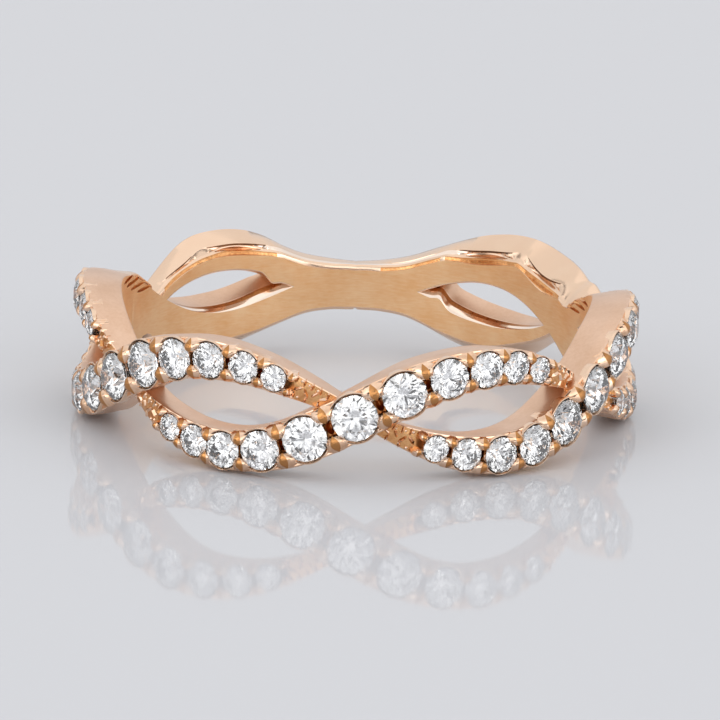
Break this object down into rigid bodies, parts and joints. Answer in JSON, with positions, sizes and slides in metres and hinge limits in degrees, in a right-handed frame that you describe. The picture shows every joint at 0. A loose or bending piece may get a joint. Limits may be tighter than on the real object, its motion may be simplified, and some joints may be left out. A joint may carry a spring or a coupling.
{
  "type": "stacking ring",
  "caption": "Finger ring of two woven metal strands with round cut clear stones along the front and a plain narrow back.",
  "frame": {"origin": "centre of the finger hole, half way through the band", "axes": "+Z along the finger hole, upright when the ring lies on its side; -Y towards the middle of the stones at the front and +Y towards the plain back; +X to the right as seen from the front"},
  "size_m": [0.0204, 0.0198, 0.0048],
  "materials": {
    "rose_gold": "polished rose gold",
    "clear_stone": "faceted and polished"
  },
  "bodies": {
    "root": {"band": "rose_gold", "stone_m08": "clear_stone", "stone_m09": "clear_stone", "stone_m10": "clear_stone", "stone_m11": "clear_stone", "stone_l01": "clear_stone", "stone_l02": "clear_stone", "stone_l03": "clear_stone", "stone_l04": "clear_stone", "stone_l05": "clear_stone", "stone_l06": "clear_stone", "stone_l07": "clear_stone", "stone_l08": "clear_stone", "stone_l09": "clear_stone", "stone_l10": "clear_stone", "stone_l11": "clear_stone", "stone_c01": "clear_stone", "stone_c02": "clear_stone", "stone_c03": "clear_stone", "stone_c04": "clear_stone", "stone_c05": "clear_stone", "stone_c06": "clear_stone", "stone_c07": "clear_stone", "stone_c08": "clear_stone", "stone_c09": "clear_stone", "stone_c10": "clear_stone", "stone_c11": "clear_stone", "stone_r01": "clear_stone", "stone_r02": "clear_stone", "stone_r03": "clear_stone", "stone_r04": "clear_stone", "stone_r05": "clear_stone", "stone_r06": "clear_stone", "stone_r07": "clear_stone", "stone_r08": "clear_stone", "stone_r09": "clear_stone", "stone_r10": "clear_stone", "stone_r11": "clear_stone", "stone_q01": "clear_stone", "stone_q02": "clear_stone", "stone_q03": "clear_stone", "stone_q04": "clear_stone"}
  },
  "joints": []
}
